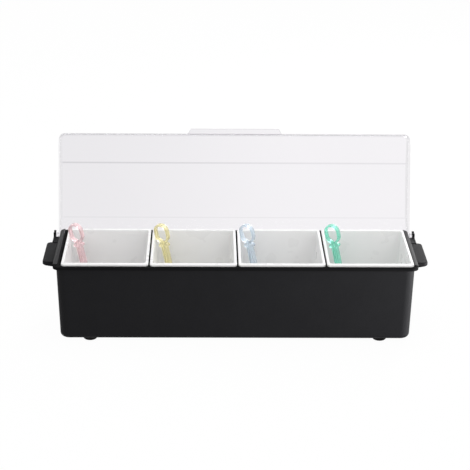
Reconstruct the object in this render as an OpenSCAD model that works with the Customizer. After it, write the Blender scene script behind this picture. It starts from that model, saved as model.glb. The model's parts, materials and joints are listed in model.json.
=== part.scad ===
// Condiment caddy: a long tub that holds ice, four lift-out trays that hang side by side
// in its mouth, one clear lid hinged at the back, and a pair of small tongs in each tray.
// Millimetres. +X runs along the caddy, +Y to the hinge side, +Z up.
// The origin is the centre of the tub's flat underside. The lid is drawn standing open.

/* [Tub] */
// Length over the rim, without the handles
tub_length = 456; // [440:1:480]
// Depth over the rim, front to back
tub_depth = 143; // [136:1:150]
// Height from the underside to the top of the rim
tub_height = 99.5; // [80:0.5:110]
// Thickness of walls and floor
tub_wall = 2.2; // [1.8:0.1:2.6]
// How far the rim stands out from the wall below it
rim_overhang = 5.8; // [5:0.1:6.2]
// Thickness of the rim
rim_thickness = 4; // [3:0.1:5]
// Corner radius of the rim, seen from above
rim_corner = 9; // [6.5:0.5:11]
// Chamfer around the top edge of the rim
rim_chamfer = 1.2; // [0.5:0.1:1.4]
// Lean of the four walls from upright, in degrees
wall_draft = 2.3; // [1:0.1:3]
// Corner radius of the walls, seen from above
wall_corner = 8; // [6:0.5:10]
// Radius between the walls and the underside
bottom_round = 6; // [4:0.5:8]
// How far the two end curbs rise above the rim
curb_rise = 1.4; // [0.8:0.1:1.8]
// Width of the end curbs
curb_width = 5.7; // [4:0.1:7]

/* [Handles] */
// Length of each handle along the end of the tub
handle_length = 74; // [60:1:76]
// How far each handle reaches past the rim
handle_reach = 15.5; // [12:0.5:22]
// Step from the top of the trays down to the top of the handle
handle_drop = 8; // [8:0.1:10]
// Height of the handle's outer edge
handle_lip = 4.5; // [4:0.1:6]
// Extra height of the handle where it meets the tub
handle_root_extra = 2.5; // [1:0.1:4]
// Corner radius of the handle, seen from above
handle_corner = 6; // [3:0.5:8]
// Thickness of the handle's top and sides
handle_wall = 2.4; // [2:0.1:2.8]

/* [Trays] */
// Distance from the tub's front and rear edges to the rims of the trays
tray_setback = 4.1; // [3.8:0.1:4.5]
// Height of one tray
tray_height = 65; // [50:1:75]
// Gap between neighbouring trays
tray_gap = 2; // [1:0.1:2.1]
// How far the loose row of trays has slid towards +X
tray_row_shift = 1.4; // [0:0.1:1.6]
// Thickness of the tray walls and floor
tray_wall = 1.6; // [1.2:0.1:1.8]
// Width of the tray rim along the two sides
tray_side_rim = 3.5; // [3.2:0.1:5]
// Height of the lip around the tray rim
tray_lip = 2.8; // [2.2:0.1:3.2]
// Thickness of the tray rim inside its lip
tray_rim_plate = 1.8; // [1.4:0.1:2]
// Chamfer around the top edge of the tray rim
tray_chamfer = 0.8; // [0.4:0.1:1]
// Corner radius of the tray rim, seen from above
tray_corner = 9; // [7:0.5:12]
// Lean of the tray walls from upright, in degrees
tray_draft = 3.5; // [3:0.1:5]
// Radius between the tray walls and the tray floor
tray_round = 8; // [5:0.5:10]

/* [Lid] */
// Thickness of the sheet
lid_wall = 2.2; // [1.8:0.1:2.4]
// Height of the flat top above the hinge axis
lid_rise = 31; // [30.5:0.5:40]
// Height of the front wall's upper edge above the hinge axis
lid_front_rise = 22; // [14:0.5:28]
// Distance from the hinge axis to the front bend
lid_front_bend = 94; // [80:1:110]
// Distance from the hinge axis to the rear bend
lid_rear_bend = 21.5; // [15:0.5:24]
// How far the lid reaches behind the hinge axis
lid_tail = 7; // [5:0.5:8]
// Height of the lid's rear edge above the hinge axis
lid_tail_rise = 14; // [13:0.5:18]
// How far the front wall leans back over its height
lid_front_lean = 1; // [0.5:0.1:3]
// Corner radius of the lid's front corners
lid_corner = 8; // [5:0.5:9]
// Distance behind the front corners where the side walls reach down past the rim
lid_side_step = 3; // [2:0.5:10]
// Angle between the closed and the open lid, in degrees
lid_opening = 105; // [95:1:115]
// Length of the thumb tab along the front edge
tab_length = 124; // [80:1:160]
// How far the thumb tab stands out
tab_reach = 6.4; // [4:0.1:10]
// How much each end of the tab tapers in towards its edge
tab_taper = 3.8; // [1:0.1:8]

/* [Hinge] */
// Distance from the tub's rear edge to the hinge axis
hinge_inset = 9.5; // [9:0.1:11]
// Step from the top of the trays down to the hinge axis
hinge_drop = 7; // [6.6:0.1:7.4]
// Radius of the hinge pins on the lid
pin_radius = 2.5; // [2:0.1:3]
// How far the boss at the root of each pin stands out from the pin
pin_boss = 0.7; // [0.5:0.1:1]
// How much narrower than the pin the bearing's mouth is, on each side
snap_grip = 0.3; // [0.1:0.05:0.5]
// Chamfer that leads the pin into the bearing's mouth
mouth_flare = 0.9; // [0.5:0.1:1.2]
// Radius of the rounded lug around each pin
lug_radius = 6.3; // [5.5:0.1:6.8]
// Width of the pocket between the rim and the hinge ear
pocket_width = 6.2; // [5.5:0.1:7]
// Thickness of the hinge ear
ear_thickness = 2.6; // [2:0.1:3.5]
// Height of the ear above the boss of the hinge pin
ear_cap = 1.8; // [1.8:0.1:3]
// Corner radius of the ear's upper corners
ear_corner = 2; // [1:0.1:2.4]
// Radius of the bead along the ear's inner edge
bead_radius = 0.6; // [0.4:0.1:0.6]
// Depth of the hinge bracket below the hinge axis
bracket_drop = 15; // [12:0.5:20]

/* [Tongs] */
// Depth of the strip that the tongs are made of
tongs_thickness = 6; // [3:0.5:7]
// Width of the spring bow
bow_width = 20; // [14:0.5:22]
// Height of the spring bow
bow_height = 26; // [22:0.5:28]
// Width of each arm and of the bow's strip
arm_width = 2.8; // [2:0.1:3.2]
// Gap between the two arms
arm_gap = 2.4; // [1.5:0.1:3]
// Radius of the finger lugs under the bow
finger_lug = 2.6; // [1.6:0.1:3]
// Radius of the gripping teeth
tooth_radius = 0.7; // [0.4:0.1:0.9]
// Distance from one tooth to the next
tooth_pitch = 2.1; // [1.8:0.1:3]
// Number of teeth on each arm
tooth_count = 5; // [2:1:8]
// Lean of the tongs to the side, in degrees
tongs_lean = 12; // [6:1:14]
// Turn of the tongs about their own length, right side forward, in degrees
tongs_turn = 30; // [0:5:40]
// Distance of the tongs behind the middle of the tray
tongs_back = 30; // [10:1:34]
// Gap between the top of the tongs and the closed lid
tongs_headroom = 2; // [1:0.5:10]

/* [Feet] */
// Diameter of a foot where it meets the tub
foot_diameter = 18; // [12:1:22]
// Height of a foot
foot_height = 5.5; // [4:0.5:8]
// Diameter of the flat that touches the table
foot_flat = 12; // [8:1:13]
// Distance from the ends of the underside to the middle of the feet
foot_inset_x = 34.4; // [20:0.1:80]
// Distance from the underside's front and rear edges to the middle of the feet
foot_inset_y = 14.9; // [14:0.1:30]

/* [Clearances] */
// Gap between parts that move past each other
clearance = 0.3; // [0.3:0.05:0.5]
// Gap between the trays and the tub's front and rear walls
tray_play = 0.6; // [0.4:0.1:1]
// Gap left between the row of trays and the curb that it has slid up to
row_play = 0.9; // [0.3:0.1:1.5]
// Radial gap around the hinge pins
pin_clearance = 0.08; // [0.05:0.01:0.1]

/* [Hidden] */
$fn = 64;
// Facets of a circle inside a hull
hull_fn = 32;
// Thickness of the flat slices that hulls are stretched between
slice = 0.01;
// Overlap of shapes that are joined, and overrun of cuts
lap = 1;
// Overrun of the cuts that open up the lid and the hinge pocket
far = 60;

// Tub: half sizes of the wall under the rim, and at the underside
wall_x = tub_length / 2 - rim_overhang;
wall_y = tub_depth / 2 - rim_overhang;
wall_rise = tub_height - rim_thickness;
foot_x = wall_x - wall_rise * tan(wall_draft);
foot_y = wall_y - wall_rise * tan(wall_draft);

// Trays: the row fills the room between the end curbs
tray_count = 4;
curb_x = tub_length / 2 - curb_width;
row_x = curb_x - tray_row_shift - row_play;
tray_width = (2 * row_x - (tray_count - 1) * tray_gap) / tray_count;
tray_length = tub_depth - 2 * tray_setback;
tray_top = tub_height + tray_lip;
tray_body_x = tray_width / 2 - tray_side_rim + tray_wall;
tray_body_y = wall_y - tub_wall - tray_play;
tray_floor_x = tray_body_x - tray_height * tan(tray_draft);
tray_floor_y = tray_body_y - tray_height * tan(tray_draft);
tray_body_corner = tray_corner - tray_side_rim;

// Hinge
hinge_y = tub_depth / 2 - hinge_inset;
hinge_z = tray_top - hinge_drop;
ear_x = tub_length / 2 + pocket_width;
ear_outer = ear_x + ear_thickness;
lug_clear = lug_radius + clearance;
pin_end = ear_outer - clearance;
boss_radius = pin_radius + pin_boss;
ear_rise = boss_radius + ear_cap;

// Lid: its side walls hang over the ends of the rim
lid_width = tub_length + 2 * (clearance + lid_wall);
// Lid outline, as [distance in front of the hinge axis, height above it]
lid_reach = hinge_y + tub_depth / 2 - clearance;
lid_foot = tub_height + clearance - hinge_z;
lid_profile = [
    [lid_reach, lid_foot],
    [lid_reach - lid_front_lean, lid_front_rise],
    [lid_front_bend, lid_rise],
    [lid_rear_bend, lid_rise],
    [-lid_tail, lid_tail_rise]
];
// Where the side walls' lower edge steps up over the rim's front corners
side_step = lid_reach - lid_corner - lid_side_step;
// Direction of the side wall's rear edge, which leaves the lug at a tangent
tail_angle = atan2(lid_tail_rise, lid_tail);
tail_length = norm([lid_tail, lid_tail_rise]);
tangent_angle = tail_angle - acos(lug_radius / tail_length);
// That edge lies on this slope once the lid is open
stop_slope = tangent_angle + 90 - lid_opening;

// Handles
handle_top = tray_top - handle_drop;
handle_outer = tub_length / 2 + handle_reach;

// Tongs: they stand on the tray floor and lean with the bow on the tray's side rim
tongs_top = hinge_z + lid_rise - lid_wall - tongs_headroom;
bow_radius = bow_width / 2;
tongs_half = arm_width + arm_gap / 2;
turned_depth = tongs_thickness / 2 * sin(tongs_turn);
turned_half = tongs_half * cos(tongs_turn) + turned_depth;
tongs_foot = tray_top - tray_height + tray_wall + clearance + turned_half * sin(tongs_lean);
tongs_length = (tongs_top - tongs_foot - bow_radius) / cos(tongs_lean) + bow_radius;
bow_low = tongs_length - bow_height + bow_radius;
bow_above_rim = tongs_foot + bow_low * cos(tongs_lean) - tray_top;
bow_at_rim = sqrt(pow(bow_radius, 2) - pow(bow_above_rim, 2));
bow_beside_rim = bow_at_rim * cos(tongs_turn) + turned_depth + clearance;
tongs_side = tray_width / 2 - tray_side_rim - bow_beside_rim - bow_low * sin(tongs_lean);

// Rectangle with rounded corners, centred
module rounded(length, depth, radius) {
    square([length - 2 * radius, depth], center = true);
    square([length, depth - 2 * radius], center = true);
    for (x = [-1, 1], y = [-1, 1])
        translate([x * (length / 2 - radius), y * (depth / 2 - radius)])
            circle(radius);
}

// Tapered trough: rounded slices at the top, balls at the bottom
module trough(top_x, top_y, top_r, top_z, low_x, low_y, low_r, low_z) {
    hull() {
        translate([0, 0, top_z])
            linear_extrude(slice)
                rounded(2 * top_x, 2 * top_y, top_r, $fn = hull_fn);
        for (x = [-1, 1], y = [-1, 1])
            translate([x * (low_x - low_r), y * (low_y - low_r), low_z + low_r])
                sphere(low_r, $fn = hull_fn);
    }
}

// Flat plate with a chamfered top edge
module chamfered_plate(length, depth, radius, height, chamfer) {
    hull() {
        linear_extrude(height - chamfer)
            rounded(length, depth, radius, $fn = hull_fn);
        translate([0, 0, height - slice])
            linear_extrude(slice)
                rounded(length - 2 * chamfer, depth - 2 * chamfer, radius - chamfer, $fn = hull_fn);
    }
}

// Copy for the other end of the caddy
module both_ends() {
    children();
    mirror([1, 0, 0]) children();
}

// Shape drawn in the plane [y, z], extruded along X from x0 to x1
module along_x(x0, x1) {
    translate([x0, 0, 0])
        rotate([90, 0, 90])
            linear_extrude(x1 - x0)
                children();
}

// Room inside the tub, open at the top
module tub_room() {
    trough(
        wall_x - tub_wall, wall_y - tub_wall, wall_corner - tub_wall, wall_rise,
        foot_x - tub_wall, foot_y - tub_wall, bottom_round - tub_wall, tub_wall
    );
    translate([0, 0, wall_rise])
        linear_extrude(rim_thickness + curb_rise + lap)
            rounded(2 * (wall_x - tub_wall), 2 * (wall_y - tub_wall), wall_corner - tub_wall);
}

// Curbs along the two ends of the rim, starting behind its front corners
module curbs() {
    curb_start = rim_corner - tub_depth / 2;
    intersection() {
        translate([0, 0, wall_rise])
            chamfered_plate(tub_length, tub_depth, rim_corner, rim_thickness + curb_rise, rim_chamfer);
        both_ends()
            translate([curb_x, curb_start, wall_rise])
                cube([tub_length, tub_depth, rim_thickness + curb_rise + lap]);
    }
}

// Handle: a ledge with a turned-down edge, hollow underneath
module handle() {
    root_x = wall_x - tub_wall / 2;
    root_z = handle_top - handle_lip - handle_root_extra;
    rim_x = tub_length / 2;
    module side(inset, sink) {
        rotate([90, 0, 0])
            linear_extrude(handle_length + 2 * lap, center = true)
                polygon([
                    [root_x, root_z - sink],
                    [rim_x, root_z - sink],
                    [handle_outer - inset, handle_top - handle_lip - sink],
                    [handle_outer - inset, handle_top - inset],
                    [rim_x, handle_top - inset],
                    [rim_x, wall_rise + slice - inset],
                    [root_x, wall_rise + slice - inset]
                ]);
    }
    module outline(inset) {
        half = handle_length / 2 - inset;
        outer = handle_outer - inset;
        corner = handle_corner - inset;
        linear_extrude(tub_height) {
            translate([root_x - lap, -half])
                square([outer - corner - root_x + lap, 2 * half]);
            translate([root_x - lap, corner - half])
                square([outer - root_x + lap, 2 * (half - corner)]);
            for (y = [-1, 1])
                translate([outer - corner, y * (half - corner)])
                    circle(corner);
        }
    }
    difference() {
        intersection() {
            side(0, 0);
            outline(0);
        }
        intersection() {
            side(handle_wall, lap);
            outline(handle_wall);
            translate([wall_x, -tub_depth / 2, 0])
                cube([tub_length, tub_depth, tub_height]);
        }
    }
}

// Hinge bracket: shelf, pocket with a sloped stop, and ear with a snap-in bearing
module bracket() {
    front_y = handle_length / 2 - handle_wall;
    rear_y = hinge_y + lug_radius;
    shelf_z = hinge_z - clearance;
    low_z = hinge_z - bracket_drop;
    root_x = wall_x - tub_wall / 2;
    // Half width of the bearing's mouth
    mouth = pin_radius - snap_grip;
    difference() {
        union() {
            translate([root_x, front_y, low_z])
                cube([ear_outer - root_x, rear_y - front_y, shelf_z - low_z]);
            // Ear with rounded upper corners
            translate([0, hinge_y, hinge_z])
                along_x(ear_x, ear_outer) {
                    translate([-lug_radius, -lap])
                        square([2 * lug_radius, lap + ear_rise - ear_corner]);
                    translate([ear_corner - lug_radius, 0])
                        square([2 * (lug_radius - ear_corner), ear_rise]);
                    for (y = [-1, 1])
                        translate([y * (lug_radius - ear_corner), ear_rise - ear_corner])
                            circle(ear_corner);
                }
            // Bead along the ear's inner edge
            translate([ear_x, hinge_y, hinge_z + ear_rise - bead_radius])
                rotate([90, 0, 0])
                    cylinder(r = bead_radius, h = 2 * (lug_radius - ear_corner), center = true, $fn = 32);
        }
        // Hollow under the shelf
        translate([wall_x, front_y + handle_wall, low_z - lap])
            cube([
                ear_x - wall_x,
                hinge_y - lug_clear - front_y - 2 * handle_wall,
                shelf_z - low_z + lap - handle_wall
            ]);
        // Pocket for the lid's lug, and the slope that stops the open lid
        translate([0, hinge_y, hinge_z])
            along_x(wall_x, ear_x) {
                circle(lug_clear);
                rotate(stop_slope)
                    translate([0, -lug_clear])
                        square([far, far]);
            }
        // Bearing, open at the top
        translate([0, hinge_y, hinge_z])
            along_x(ear_x - lap, ear_outer + lap) {
                circle(pin_radius + pin_clearance);
                translate([-mouth, 0])
                    square([2 * mouth, ear_rise + lap]);
                polygon([
                    [-mouth, ear_rise - mouth_flare], [mouth, ear_rise - mouth_flare],
                    [mouth + mouth_flare + lap, ear_rise + lap],
                    [-mouth - mouth_flare - lap, ear_rise + lap]
                ]);
            }
    }
}

// Tub with its rim, curbs, handles and hinge brackets, moulded in one
module tub() {
    color("#26272a")
        difference() {
            union() {
                trough(
                    wall_x, wall_y, wall_corner, wall_rise,
                    foot_x, foot_y, bottom_round, 0
                );
                translate([0, 0, wall_rise])
                    chamfered_plate(tub_length, tub_depth, rim_corner, rim_thickness, rim_chamfer);
                curbs();
                both_ends() {
                    handle();
                    bracket();
                }
            }
            tub_room();
        }
}

// Rubber foot, a low dome with a flat bottom, bonded under the tub
module foot(side_x, side_y) {
    shoulder = foot_height - (foot_diameter - foot_flat) / 2;
    color("#1b1b1d")
        translate([side_x * (foot_x - foot_inset_x), side_y * (foot_y - foot_inset_y), -foot_height])
            rotate_extrude() {
                square([foot_flat / 2, foot_height]);
                translate([0, foot_height - shoulder])
                    square([foot_diameter / 2, shoulder]);
                intersection() {
                    translate([foot_flat / 2, foot_height - shoulder])
                        circle((foot_diameter - foot_flat) / 2);
                    square([foot_diameter, foot_height]);
                }
            }
}

// Middle of tray number 1 to 4, along X
function tray_x(number) = (number - (tray_count + 1) / 2) * (tray_width + tray_gap) + tray_row_shift;

// Lift-out tray: hanging rim with a lip, tapered body
module tray(number) {
    low_z = tray_top - tray_height;
    color("#f4f4f2")
        translate([tray_x(number), 0, 0])
            difference() {
                union() {
                    translate([0, 0, tray_top - tray_lip])
                        difference() {
                            chamfered_plate(tray_width, tray_length, tray_corner, tray_lip, tray_chamfer);
                            translate([0, 0, -lap])
                                linear_extrude(tray_lip - tray_rim_plate + lap)
                                    rounded(
                                        tray_width - 2 * tray_wall, tray_length - 2 * tray_wall,
                                        tray_corner - tray_wall
                                    );
                        }
                    trough(
                        tray_body_x, tray_body_y, tray_body_corner, tray_top - tray_rim_plate,
                        tray_floor_x, tray_floor_y, tray_round, low_z
                    );
                }
                trough(
                    tray_body_x - tray_wall, tray_body_y - tray_wall, tray_body_corner - tray_wall,
                    tray_top - tray_rim_plate,
                    tray_floor_x - tray_wall, tray_floor_y - tray_wall, tray_round - tray_wall,
                    low_z + tray_wall
                );
                translate([0, 0, tray_top - tray_rim_plate])
                    linear_extrude(tray_rim_plate + lap)
                        rounded(
                            2 * (tray_body_x - tray_wall), 2 * (tray_body_y - tray_wall),
                            tray_body_corner - tray_wall
                        );
            }
}

// Point where two offset edges meet, inside the corner b of the path a, b, c
function inner_point(a, b, c, inset) =
    let (
        u = (b - a) / norm(b - a),
        v = (c - b) / norm(c - b),
        nu = [-u[1], u[0]],
        nv = [-v[1], v[0]]
    )
    b + inset * (nu + nv) / (1 + nu * nv);

// Lid, drawn closed around the hinge axis: -Y is the front
module closed_lid() {
    pin_root = (lid_width - lid_wall) / 2;
    count = len(lid_profile);
    tail_dir = (lid_profile[count - 1] - lid_profile[count - 2])
        / norm(lid_profile[count - 1] - lid_profile[count - 2]);
    front_start = lid_profile[0] - [0, far];
    tail_end = lid_profile[count - 1] + far * tail_dir;
    path = concat([front_start], lid_profile, [tail_end]);
    inner = concat(
        [front_start - [lid_wall, 0]],
        [for (i = [1:count - 1]) inner_point(path[i - 1], path[i], path[i + 1], lid_wall)],
        [tail_end + lid_wall * [-tail_dir[1], tail_dir[0]]]
    );
    module outline(points) {
        polygon([for (p = points) [-p[0], p[1]]]);
    }
    module plan(inset) {
        half = lid_width / 2 - inset;
        front = lid_reach - inset;
        corner = lid_corner - inset;
        translate([0, 0, -far])
            linear_extrude(3 * far) {
                translate([-half, corner - front])
                    square([2 * half, front + far]);
                translate([corner - half, -front])
                    square([2 * (half - corner), front]);
                for (x = [-1, 1])
                    translate([x * (half - corner), corner - front])
                        circle(corner);
            }
    }
    intersection() {
        plan(0);
        difference() {
            union() {
                along_x(-lid_width / 2, lid_width / 2)
                    outline(concat(
                        lid_profile,
                        [
                            lug_radius * [-cos(tangent_angle), sin(tangent_angle)],
                            [0, 0],
                            [side_step - lid_foot, 0],
                            [side_step, lid_foot]
                        ]
                    ));
                along_x(-lid_width / 2, lid_width / 2)
                    circle(lug_radius);
            }
            intersection() {
                plan(lid_wall);
                along_x(lid_wall - lid_width / 2, lid_width / 2 - lid_wall)
                    outline(concat(inner, [[-far, -far]]));
            }
        }
    }
    // Thumb tab
    translate([0, -lid_reach, lid_foot])
        linear_extrude(lid_wall)
            polygon([
                [-tab_length / 2, lid_wall / 2], [tab_taper - tab_length / 2, -tab_reach],
                [tab_length / 2 - tab_taper, -tab_reach], [tab_length / 2, lid_wall / 2]
            ]);
    // Pins and the bosses at their roots
    both_ends()
        translate([pin_root, 0, 0])
            rotate([0, 90, 0]) {
                cylinder(r = pin_radius, h = pin_end - pin_root);
                cylinder(r = boss_radius, h = ear_x - clearance - pin_root);
            }
}

// Clear lid with its side walls, thumb tab and hinge pins, moulded in one
module lid() {
    color("#e8ecf0", 0.35)
        translate([0, hinge_y, hinge_z])
            rotate([-lid_opening, 0, 0])
                closed_lid();
}

// Long loop of the tongs' bow: two half circles joined by straight sides
module bow_loop(radius) {
    rise = bow_height - bow_width;
    translate([0, bow_low])
        circle(radius);
    translate([0, bow_low + rise])
        circle(radius);
    translate([-radius, bow_low])
        square([2 * radius, rise]);
}

// Tongs moulded in one: spring bow, finger lugs, two arms with gripping teeth
module tongs(number, shade) {
    neck = bow_low - bow_radius;
    arm_x = (arm_gap + arm_width) / 2;
    color(shade, 0.6)
        translate([tray_x(number) - tongs_side, tongs_back, tongs_foot])
            rotate([90, -tongs_lean, 0])
                rotate([0, -tongs_turn, 0])
                    linear_extrude(tongs_thickness, center = true) {
                        difference() {
                            bow_loop(bow_radius);
                            bow_loop(bow_radius - arm_width);
                            translate([-arm_gap / 2, neck - lap])
                                square([arm_gap, arm_width + 2 * lap]);
                        }
                        for (side = [-1, 1]) {
                            translate([side * arm_x - arm_width / 2, arm_width / 2])
                                square([arm_width, neck]);
                            translate([side * arm_x, arm_width / 2])
                                circle(arm_width / 2);
                            difference() {
                                translate([side * (tongs_half + finger_lug / 3), neck])
                                    circle(finger_lug);
                                translate([-arm_gap / 2, neck - finger_lug])
                                    square([arm_gap, 2 * finger_lug]);
                            }
                            for (step = [1:tooth_count])
                                translate([side * arm_gap / 2, step * tooth_pitch])
                                    circle(tooth_radius);
                        }
                    }
}

tub();
foot(-1, -1);  // foot_front_left
foot(1, -1);  // foot_front_right
foot(-1, 1);  // foot_rear_left
foot(1, 1);  // foot_rear_right
tray(1);  // tray_1
tray(2);  // tray_2
tray(3);  // tray_3
tray(4);  // tray_4
lid();
tongs(1, "#f2a9b4");  // tongs_pink
tongs(2, "#f1df7c");  // tongs_yellow
tongs(3, "#b5d3f0");  // tongs_blue
tongs(4, "#6fdcc0");  // tongs_green
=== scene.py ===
"""Looks of the condiment caddy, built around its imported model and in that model's own frame.

Sizes are in mm and plain angles in degrees. piece() turns a finished skin into metres.
"""
import json
import math

import bmesh
import bpy
import numpy as np
from mathutils import Matrix, Vector


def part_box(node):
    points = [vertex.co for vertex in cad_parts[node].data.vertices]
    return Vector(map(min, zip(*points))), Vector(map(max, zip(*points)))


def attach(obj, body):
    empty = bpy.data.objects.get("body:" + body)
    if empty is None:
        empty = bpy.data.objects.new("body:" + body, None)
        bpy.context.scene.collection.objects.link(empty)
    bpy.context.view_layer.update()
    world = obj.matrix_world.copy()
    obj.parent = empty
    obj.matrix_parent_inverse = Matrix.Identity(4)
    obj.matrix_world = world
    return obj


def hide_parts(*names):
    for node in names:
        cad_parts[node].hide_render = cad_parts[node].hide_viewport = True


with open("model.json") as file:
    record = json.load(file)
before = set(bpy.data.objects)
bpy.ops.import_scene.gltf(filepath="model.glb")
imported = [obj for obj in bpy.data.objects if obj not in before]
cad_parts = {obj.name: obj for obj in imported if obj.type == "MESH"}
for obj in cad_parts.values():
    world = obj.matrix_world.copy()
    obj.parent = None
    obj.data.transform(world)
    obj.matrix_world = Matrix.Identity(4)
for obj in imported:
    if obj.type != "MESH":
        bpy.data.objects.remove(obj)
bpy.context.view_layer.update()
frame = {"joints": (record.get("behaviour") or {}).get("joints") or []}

MM = 0.001
TRAYS = ("tray_1", "tray_2", "tray_3", "tray_4")
FEET = ("foot_front_left", "foot_front_right", "foot_rear_left", "foot_rear_right")


# ---------------------------------------------------------------- sizes

def node_box(name):
    """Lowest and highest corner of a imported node, in mm."""
    return tuple(np.array(corner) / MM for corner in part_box(name))


# Walls of the tub and of the lid, and the gap between pieces that move on each other
WALL = 2.2
CLEARANCE = 0.3

# Tub. Its node ends at the handles' outer edges, the rim's rear edge and the top of the end curbs
HANDLE_X, RIM_Y, CURB_TOP = node_box("tub")[1]
HANDLE_REACH = 15.5
CURB_RISE = 1.4
CURB_WIDTH = 5.7
RIM_OVERHANG = 5.8
RIM_THICKNESS = 4.0
RIM_CORNER = 9.0
RIM_X = HANDLE_X - HANDLE_REACH
RIM_TOP = CURB_TOP - CURB_RISE
RIM_LOW = RIM_TOP - RIM_THICKNESS
WALL_X = RIM_X - RIM_OVERHANG
WALL_Y = RIM_Y - RIM_OVERHANG
WALL_LEAN = math.tan(math.radians(1.95))
WALL_CORNER = 12.0
MOUTH_CORNER = 5.8
# How much further out the two end walls stand, under the rim
END_SPREAD = 2.2
BOTTOM_ROUND = 6.0

# Trays
TRAY_TOP = node_box(TRAYS[0])[1][2]
TRAY_HEIGHT = 65.0
TRAY_WALL = 1.6
TRAY_SIDE_RIM = 3.5
TRAY_PLAY = 0.6
TRAY_PLATE = 1.8
TRAY_LIP = 2.8
TRAY_ROUND = 8.0
TRAY_CORNER = 4.5
TRAY_LEAN = math.tan(math.radians(3.5))
# How far the row of trays is pushed to the right, and the tongs with it
TRAY_SLIDE = 1.0

# Handles
HANDLE_TOP = TRAY_TOP - 8.0
HANDLE_HALF = 37.0
HANDLE_LIP = 4.5
HANDLE_ROOT = 2.5
HANDLE_CORNER = 6.0
HANDLE_WALL = 2.4

# Hinge
hinge = next(joint for joint in frame["joints"] if joint["name"] == "lid_hinge")
HINGE_Y = hinge["pos_m"][1] / MM
HINGE_Z = hinge["pos_m"][2] / MM
OPENING = math.radians(-hinge["range_deg"][0])
PIN = 2.5
PIN_BOSS = PIN + 0.7
LUG = 6.3
BRACKET_DROP = 15.0
EAR_IN = RIM_X + 6.2
EAR_OUT = EAR_IN + 2.6
EAR_TOP = HINGE_Z + PIN_BOSS + 1.8
EAR_CORNER = 2.0

# Lid, measured forward and upward from the hinge while it is closed. LID_BENDS are its two folds,
# LID_TAIL is its rear edge, and at LID_STEP the side walls' lower edge steps down behind the front
LID_HALF = RIM_X + CLEARANCE + WALL
LID_REACH = HINGE_Y + RIM_Y - CLEARANCE
LID_LEAN = 1.0
LID_FRONT = LID_REACH - LID_LEAN
LID_FOOT = RIM_TOP + CLEARANCE - HINGE_Z
LID_FRONT_RISE = 22.0
LID_RISE = 31.0
LID_BENDS = (94.0, 21.5)
LID_TAIL = (-7.0, 14.0)
LID_CORNER = 8.0
LID_STEP = LID_REACH - LID_CORNER - 3.0
LID_ROUND = 3.0
LID_COLUMNS = 41

# Tongs. They stand on the tray's floor, the closed lid clears them, and BOW_LOW is the distance from
# their tips to the middle of the bow's lower half circle
TONGS_LEAN = math.radians(12)
TONGS_TURN = math.radians(30)
TONGS_DEPTH = 6.0
TONGS_HEADROOM = 2.0
BOW_RADIUS = 10.0
BOW_RISE = 6.0
ARM_WIDTH = 2.8
ARM_GAP = 2.4
ARM_SIDE = (ARM_WIDTH + ARM_GAP) / 2
TEETH = 5
TOOTH_RADIUS = 0.7
TOOTH_PITCH = 2.1
turned_half = (
    (ARM_WIDTH + ARM_GAP / 2) * math.cos(TONGS_TURN) + TONGS_DEPTH / 2 * math.sin(TONGS_TURN)
)
tongs_foot = (
    TRAY_TOP - TRAY_HEIGHT + TRAY_WALL + CLEARANCE + turned_half * math.sin(TONGS_LEAN)
)
tongs_top = HINGE_Z + LID_RISE - WALL - TONGS_HEADROOM
BOW_LOW = (tongs_top - tongs_foot - BOW_RADIUS) / math.cos(TONGS_LEAN) - BOW_RISE


# ---------------------------------------------------------------- surfaces

# Corners of a rectangle, counterclockwise: side in x, side in y, and the angle its round starts at
CORNERS = ((1, 1, 0), (-1, 1, 90), (-1, -1, 180), (1, -1, 270))
# Points closer than this are one point, and edges sharper than this stay sharp
MERGE = 0.001
SHARP = 35


def arc(centre, radius, start, stop, steps=8):
    """Points of a circle's arc: centre + radius * (cos, sin) of evenly spaced angles."""
    angle = np.radians(np.linspace(start, stop, steps + 1))
    return np.asarray(centre, float) + radius * np.stack([np.cos(angle), np.sin(angle)], -1)


def path(*stretches):
    """One open line from points and arcs given in order, repeated points left out."""
    line = np.concatenate([np.atleast_2d(np.asarray(s, float)) for s in stretches])
    apart = np.abs(np.diff(line, axis=0)).max(1) > 1e-6
    return line[np.append(True, apart)]


def smooth_bends(points, reach, steps=6):
    """Line with its inner corners rounded.

    Each corner gives way to a quadratic curve that leaves and meets the line at that reach from it.
    """
    rounded = [points[0]]
    for a, b, c in zip(points, points[1:], points[2:]):
        start = b + (a - b) / np.linalg.norm(a - b) * reach
        end = b + (c - b) / np.linalg.norm(c - b) * reach
        t = np.linspace(0, 1, steps + 1)[:, None]
        rounded.extend((1 - t) ** 2 * start + 2 * t * (1 - t) * b + t ** 2 * end)
    rounded.append(points[-1])
    return np.array(rounded)


def rotated(a, b, angle):
    """Two coordinates turned by an angle in radians."""
    cos, sin = math.cos(angle), math.sin(angle)
    return a * cos - b * sin, a * sin + b * cos


def quads(rows, columns, wrap=True):
    """Corner numbers of the faces of a grid; wrap joins the last column to the first."""
    row, column = np.meshgrid(
        np.arange(rows - 1), np.arange(columns if wrap else columns - 1), indexing="ij"
    )
    here = row * columns + column
    beside = row * columns + (column + 1) % columns
    return np.stack([here, beside, beside + columns, here + columns], -1).reshape(-1, 4).tolist()


def loft(rings):
    """Closed skin through a stack of rings, with a flat face over the first and the last."""
    rings = np.asarray(rings, float)
    rows, columns = rings.shape[:2]
    ends = [list(range(columns))[::-1], list(range((rows - 1) * columns, rows * columns))]
    return rings.reshape(-1, 3), quads(rows, columns) + ends


def rounded_ring(half_x, half_y, corner, height, steps=10):
    """Rounded rectangle at one height: four quarter circles, joined by the straight sides."""
    plan = np.concatenate([
        arc((sx * (half_x - corner), sy * (half_y - corner)), corner, start, start + 90, steps)
        for sx, sy, start in CORNERS
    ])
    return np.column_stack([plan, np.full(len(plan), height)])


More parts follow.
